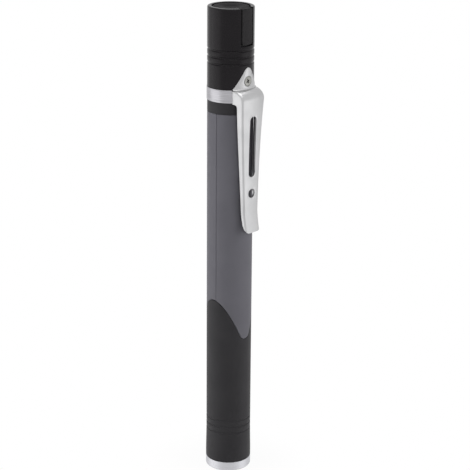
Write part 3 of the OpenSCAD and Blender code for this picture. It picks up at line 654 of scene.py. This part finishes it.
makePiece(bm, "clipTab", "head", "clip_steel", ["clip_tab"])

screwSize = {
    "r": 1.68, "face": 8.27, "z": 144.0, "drive": 0.27, "driveLen": 0.95, "driveDepth": 0.5, "driveTaper": 0.62,
    "rim": 0.15, "rimDrop": 0.12, "land": 0.06, "head": 0.7, "shankR": 1.0, "len": 5.0, "edge": 0.05, "turn": 22,
    "columns": 40,
}
size = screwSize
bm = bmesh.new()
a, b = size["drive"], size["driveLen"]
cross = [(a, a), (a, b), (-a, b), (-a, a), (-b, a), (-b, -a), (-a, -a), (-a, -b), (a, -b), (a, -a), (b, -a), (b, a)]
flatR = size["r"] - size["rim"]
crossEdges = addRing(bm, [(x, z, 0) for x, z in cross])
rimEdges = addRing(bm, [(x, z, 0) for x, z in arcPoints(0, 0, flatR, 0, 360, size["columns"])[:-1]])
bmesh.ops.triangle_fill(bm, edges=crossEdges + rimEdges, use_beauty=True, use_dissolve=False)
crossSteps = [(size["driveTaper"], -size["driveDepth"])]
rimSteps = [(size["r"] / flatR, -size["rimDrop"]), (1.0, -size["land"])]
rimSteps += [(size["shankR"] / size["r"], size["rimDrop"] + size["land"] - size["head"])]
rimSteps += [(1.0, size["head"] - size["len"])]
for edges, steps in ((crossEdges, crossSteps), (rimEdges, rimSteps)):
    for grow, drop in steps:
        grown = bmesh.ops.extrude_edge_only(bm, edges=edges)["geom"]
        verts = vertsOf(grown)
        edges = [item for item in grown if isinstance(item, bmesh.types.BMEdge)]
        bmesh.ops.scale(bm, vec=(grow, grow, 1), verts=verts)
        bmesh.ops.translate(bm, vec=(0, 0, drop), verts=verts)
    bmesh.ops.contextual_create(bm, geom=edges)
roundEdges(bm, size["edge"], 2, 50)
for turn, axis in ((size["turn"], "Z"), (90, "X")):  # as it was driven in, then facing out of the tab
    bmesh.ops.rotate(bm, cent=(0, 0, 0), matrix=Matrix.Rotation(math.radians(turn), 3, axis), verts=bm.verts)
bmesh.ops.translate(bm, vec=(0, -size["face"], size["z"]), verts=bm.verts)
makePiece(bm, "clipScrew", "head", "screw_steel", ["clip_screw"])

leafSize = {
    "tipZ": 91.3, "waistZ": 98.5, "bendZ": 137.9, "topZ": 141.3, "length": 50.0, "sheet": 0.7, "edge": 0.15,
    "waist": 10.3, "shoulder": 11.2, "tip": 11.4, "flare": 1.4, "creaseR": 8.3, "creaseIn": 0.25, "crown": 0.35,
    "tipHalf": 3.5, "topHalf": 5.75, "widen": 1.5, "corner": 1.5, "cornerReach": 3.2, "fold": 0.76, "topFold": 0.72,
    "flangeTip": 1.3, "flangeTop": 3.0, "flangeRise": 1.0, "footZ": 136.5, "footR": 0.95, "farFootR": 0.05,
    "earZ": 140.55, "barrelR": 8.15, "collarR": 8.25, "seatR": 7.65, "seatMin": 5.85,
    "strip": 2.3, "slotR": 1.6, "slotLow": 112.5, "slotHigh": 130.7, "holeZ": 105.1, "holeRoom": 2.5,
    "rows": {  # of the flat blank, closer where it bends or is pierced
        "tip": [91.3, 91.6, 92.0, 92.6, 93.3, 94.1, 95.0, 96.0, 97.0, 98.0, 99.2, 100.4, 101.5],
        "hole": [102.6 + 0.5 * i for i in range(11)] + [108.4, 109.2],
        "slotFoot": [110.0 + 0.5 * i for i in range(6)],
        "slot": [112.5 + 1.4 * i for i in range(1, 13)],
        "slotHead": [130.7 + 0.5 * i for i in range(6)],
        "flangeFoot": [134.0, 134.8] + [135.55 + 0.27 * i for i in range(6)] + [137.15, 137.4, 137.65, 137.9],
        "shoulder": [137.9 + i / 12 for i in range(1, 13)] + [139.15, 139.4, 139.65, 139.9],
    },
}


# Distance of the leaf's outer face from the barrel axis
def leafFace(z):
    size = leafSize
    if z > size["waistZ"]:
        share = (z - size["waistZ"]) / (size["bendZ"] - size["waistZ"])
        return size["waist"] + (size["shoulder"] - size["waist"]) * share ** 3
    share = (size["waistZ"] - z) / (size["waistZ"] - size["tipZ"])
    return size["waist"] + (size["tip"] - size["waist"]) * share ** size["flare"]


# Half of the leaf's width
def leafHalf(z):
    size = leafSize
    share = max(z - size["tipZ"], 0) / size["length"]
    narrow = max(z - size["bendZ"], 0) / (size["topZ"] - size["bendZ"])
    wide = size["tipHalf"] + (size["topHalf"] - size["tipHalf"]) * share ** size["widen"]
    return wide - size["creaseIn"] * narrow


# Outer face in side view: up the leaf, over the shoulder (v from bendZ to bendZ + 1), in to the head (to bendZ + 2)
def leafOutside(v, x):
    size = leafSize
    over = v - size["bendZ"]
    crown = size["crown"] * (x / size["topHalf"]) ** 2
    if over <= 0:
        return Vector((leafFace(v) - crown, v))
    crease = math.sqrt(size["creaseR"] ** 2 - x * x)
    if over <= 1:
        turn = math.radians(90 * over)
        reach, rise = size["shoulder"] - crown - crease, size["topZ"] - size["bendZ"]
        return Vector((crease + reach * math.cos(turn), size["bendZ"] + rise * math.sin(turn)))
    seat = max(math.sqrt(size["seatR"] ** 2 - x * x), size["seatMin"])
    return Vector((crease + (over - 1) * (seat - crease), size["topZ"]))


# Direction from the outer face into the sheet, in side view
def leafInward(v, x):
    along = leafOutside(v + 0.005, x) - leafOutside(v - 0.005, x)
    return Vector((-along.y, along.x)).normalized()


# Free edge of the flange in side view: along the leaf, round its foot, in to the collar and up it
def flangeEdge(v, x, side):
    size = leafSize
    collar = math.sqrt(size["collarR"] ** 2 - x * x)
    footR = size["footR"] if side < 0 else size["farFootR"]
    turnZ = size["footZ"] - footR
    low = min(v, turnZ)
    share = (low - size["tipZ"]) / (size["bendZ"] - size["tipZ"])
    edge = leafFace(low) - size["flangeTip"] - (size["flangeTop"] - size["flangeTip"]) * share
    if side > 0:  # the far flange reaches in to the barrel along the slot
        near = math.sqrt(size["barrelR"] ** 2 - x * x)
        edge += (near - edge) * min(max((low - size["holeZ"]) / (size["slotLow"] - size["holeZ"]), 0), 1)
    arcEnd, footEnd, end = size["bendZ"] - 1, size["bendZ"] - 0.5, size["bendZ"] + 2
    if v <= turnZ:
        return Vector((edge, v))
    if v <= arcEnd:
        turn = math.radians(90 * (v - turnZ) / (arcEnd - turnZ))
        return Vector((edge - footR * (1 - math.cos(turn)), turnZ + footR * math.sin(turn)))
    if v <= footEnd:
        inner = edge - footR
        return Vector((inner + (collar - inner) * (v - arcEnd) / (footEnd - arcEnd), size["footZ"]))
    return Vector((collar, size["footZ"] + (size["earZ"] - size["footZ"]) * (v - footEnd) / (end - footEnd)))


# Folds the flat blank: u across (strip, face, fold and flange, one unit each), v along, depth into the sheet
def foldLeaf(u, v, depth):
    size = leafSize
    side = math.copysign(1, u)
    u = abs(u) - size["strip"]
    over = min(max(v - size["bendZ"], 0), 1)
    half = leafHalf(leafOutside(min(v, size["bendZ"] + 1), 0).y)
    bend = size["fold"] + (size["topFold"] - size["fold"]) * over
    turn = math.radians(90 * min(max(u - 1, 0), 1))
    if u <= 0:
        x = size["strip"] + u
    elif u <= 1:
        x = size["strip"] + u * (half - bend - size["strip"])
    else:
        x = half - bend + bend * math.sin(turn)
    cornerX = min(x - (size["tipHalf"] - size["corner"]), size["corner"])
    fromTip = (v - size["tipZ"]) / size["cornerReach"]
    if cornerX > 0 and fromTip < 1:  # round corners of the tip, and flanges that end on a slant
        v += (size["corner"] - math.sqrt(size["corner"] ** 2 - cornerX ** 2)) * (1 - fromTip)
        v += max(u - 2, 0) * size["flangeRise"] * (1 - fromTip)
    spot = leafOutside(v, x) + leafInward(v, x) * (bend - (bend - depth) * math.cos(turn))
    x -= depth * math.sin(turn)
    if u > 2:
        spot = spot.lerp(flangeEdge(v, x, side), u - 2)
    return Vector((side * x, -spot.x, spot.y))


bm = bmesh.new()
size = leafSize
strip = size["strip"]
half = [strip * i / 5 for i in range(6)] + [strip + 0.5, strip + 1] + [strip + 1 + i / 6 for i in range(1, 7)]
half += [strip + 2 + i / 4 for i in range(1, 5)]
across = [-u for u in reversed(half[1:])] + half
along = [row for rows in size["rows"].values() for row in rows]
bmesh.ops.create_grid(bm, x_segments=len(across) - 1, y_segments=len(along) - 1, size=1)
for v in bm.verts:
    column = round((v.co.x + 1) / 2 * (len(across) - 1))
    row = round((v.co.y + 1) / 2 * (len(along) - 1))
    v.co = (across[column], along[row], 0)
for first, last in ((size["holeZ"], size["holeZ"]), (size["slotLow"], size["slotHigh"])):  # the hole and the slot
    low, high = first - size["holeRoom"], last + size["holeRoom"]
    gone = []
    for f in bm.faces:
        middle = f.calc_center_median()
        if abs(middle.x) < strip and low < middle.y < high:
            gone.append(f)
    bmesh.ops.delete(bm, geom=gone, context="FACES")
    rim = []
    for e in bm.edges:
        inside = all(abs(v.co.x) < strip + 0.01 and low - 0.01 < v.co.y < high + 0.01 for v in e.verts)
        if inside and e.is_boundary:
            rim.append(e)
    for v in vertsOf(bmesh.ops.extrude_edge_only(bm, edges=rim)["geom"]):
        centre = Vector((0, min(max(v.co.y, first), last), 0))
        away = v.co - centre
        if first < v.co.y < last:
            away = Vector((math.copysign(1, away.x), 0, 0))
        v.co = centre + away.normalized() * size["slotR"]
thickenFlat(bm, (0, 0, size["sheet"]))
for v in bm.verts:
    v.co = foldLeaf(*v.co)
bmesh.ops.recalc_face_normals(bm, faces=bm.faces)
roundEdges(bm, size["edge"], 3, 55, lambda co: math.hypot(co.x, co.y) > size["collarR"] - 0.05)
makePiece(bm, "clipLeaf", "clip", "clip_steel", ["clip_leaf"])
print("clip made")


# stage, light and camera

def addMath(material, operation, first, second):
    settings, links = {"operation": operation}, {0: first}
    (links if isinstance(second, tuple) else settings)[1] = second
    return addNode(material, "ShaderNodeMath", settings, links), "Value"


# the floor is white to the camera, with a faint shadow round the foot, and dimmer through the lens
floorSize = {"half": 6.0, "near": 0.01, "far": 0.03, "shadow": 0.05, "through": 0.4}
floorPaint, shader = newMaterial("whiteStudioFloor", {"Roughness": 0.9, "Specular IOR Level": 0.1})
shader.inputs["Base Color"].default_value = hexColour("#f4f4f4")
path = addNode(floorPaint, "ShaderNodeLightPath")
place = addNode(floorPaint, "ShaderNodeTexCoord")
away = addNode(floorPaint, "ShaderNodeVectorMath", {"operation": "LENGTH"}, {0: (place, "Object")})
fade = {"From Min": floorSize["near"], "From Max": floorSize["far"], "To Min": 1 - floorSize["shadow"], "To Max": 1.0}
white = addNode(floorPaint, "ShaderNodeMapRange", fade, {"Value": (away, "Value")})
seen = addMath(floorPaint, "MULTIPLY", (path, "Is Camera Ray"), (white, "Result"))
through = addMath(floorPaint, "MULTIPLY", (path, "Is Transmission Ray"), floorSize["through"])
share = addMath(floorPaint, "MAXIMUM", seen, through)
glow = addNode(floorPaint, "ShaderNodeEmission", {"Strength": 1.0})
mix = addNode(floorPaint, "ShaderNodeMixShader", links={0: share, 1: (shader, "BSDF"), 2: (glow, "Emission")})
floorOut = [n for n in floorPaint.node_tree.nodes if n.type == "OUTPUT_MATERIAL"][0]
floorPaint.node_tree.links.new(mix.outputs["Shader"], floorOut.inputs["Surface"])
bm = bmesh.new()
bmesh.ops.create_grid(bm, x_segments=4, y_segments=4, size=floorSize["half"])
floorMesh = bpy.data.meshes.new("floor")
bm.to_mesh(floorMesh)
bm.free()
floor = bpy.data.objects.new("floor", floorMesh)
scene.collection.objects.link(floor)
floorMesh.materials.append(floorPaint)
floor.visible_glossy = False  # metal shows the white of the world instead

# the world is white to the eye, in metal and through the lens, and only a weak fill otherwise
worldLight = {"fill": 0.12, "seen": 1.0}
world = bpy.data.worlds.new("studio")
scene.world = world
world.use_nodes = True
world.node_tree.nodes.clear()
path = addNode(world, "ShaderNodeLightPath")
eyes = addMath(world, "MAXIMUM", (path, "Is Camera Ray"), (path, "Is Glossy Ray"))
eyes = addMath(world, "MAXIMUM", eyes, (path, "Is Transmission Ray"))
soft, bright = [
    (addNode(world, "ShaderNodeBackground", {"Color": (1, 1, 1, 1), "Strength": worldLight[level]}), "Background")
    for level in ("fill", "seen")]
mix = addNode(world, "ShaderNodeMixShader", links={0: eyes, 1: soft, 2: bright})
addNode(world, "ShaderNodeOutputWorld", links={"Surface": (mix, "Shader")})

# fitted to the photo: millimetres, degrees, and the lens in millimetres
cameraPlace = {
    "spot": (-383.7, -364.1, 262.9), "aimZ": 87.65, "aside": 1.92, "turn": 46.5, "roll": 0.447, "lens": 121.7,
}
turn = math.radians(cameraPlace["turn"])
level = Vector((math.cos(turn), -math.sin(turn), 0))
spot = Vector(cameraPlace["spot"]) * mm
aim = (Vector((0, 0, cameraPlace["aimZ"])) + level * cameraPlace["aside"]) * mm
ahead = (aim - spot).normalized()
right = ahead.cross(Vector((0, 0, 1))).normalized()
up = right.cross(ahead)
roll = math.radians(cameraPlace["roll"])
tilted = right * math.cos(roll) + up * math.sin(roll)
upright = up * math.cos(roll) - right * math.sin(roll)
cameraData = bpy.data.cameras.new("camera")
cameraData.lens = cameraPlace["lens"]
cameraData.sensor_width = 36.0
cameraData.clip_start = 0.01
camera = bpy.data.objects.new("camera", cameraData)
scene.collection.objects.link(camera)
camera.matrix_world = Matrix((tilted, upright, -ahead)).transposed().to_4x4()
camera.location = spot
scene.camera = camera

# soft boxes light the object and aren't reflected: degrees from the camera's side, metres, and how bright they look
softBoxes = {
    "leftBox": {"turn": -78, "away": 0.8, "high": 0.35, "wide": 0.8, "tall": 0.7, "glow": 2.7},
    "rightBox": {"turn": 76, "away": 0.8, "high": 0.3, "wide": 0.6, "tall": 0.6, "glow": 2.6},
    "frontBox": {"turn": 16, "away": 0.8, "high": 0.4, "wide": 0.5, "tall": 0.5, "glow": 2.2},
    "backBox": {"turn": 180, "away": 0.9, "high": 0.4, "wide": 0.8, "tall": 0.7, "glow": 1.3},
}
# cards that only reflections see: one overhead for the shoulder, two below the floor for the strips along the sides
mirrorCards = {
    "topBox": {"turn": 0, "away": 0.05, "high": 0.9, "wide": 0.8, "tall": 0.8, "glow": 1.8},
    "leftCard": {"turn": -80, "away": 0.8, "high": -0.2, "wide": 0.9, "tall": 0.7, "glow": 0.6},
    "rightCard": {"turn": 76, "away": 0.8, "high": -0.2, "wide": 0.6, "tall": 0.7, "glow": 0.55},
}
toCamera = Vector((-ahead.x, -ahead.y, 0)).normalized()
target = Vector((0, 0, 0.085))
for name, box in {**softBoxes, **mirrorCards}.items():
    lampData = bpy.data.lights.new(name, "AREA")
    lampData.shape = "RECTANGLE"
    lampData.size, lampData.size_y = box["wide"], box["tall"]
    lampData.energy = 4 * box["wide"] * box["tall"] * box["glow"]  # 4 watts for each square metre give a glow of 1
    lamp = bpy.data.objects.new(name, lampData)
    scene.collection.objects.link(lamp)
    turn = math.radians(box["turn"])
    aside = right * math.sin(turn) + toCamera * math.cos(turn)
    lamp.location = aside * box["away"] + Vector((0, 0, box["high"]))
    lamp.rotation_euler = (target - lamp.location).to_track_quat("-Z", "Y").to_euler()
    lamp.visible_camera = False
    lamp.visible_diffuse, lamp.visible_glossy = name in softBoxes, name in mirrorCards

scene.view_settings.view_transform = "Standard"
print("stage, light and camera set")
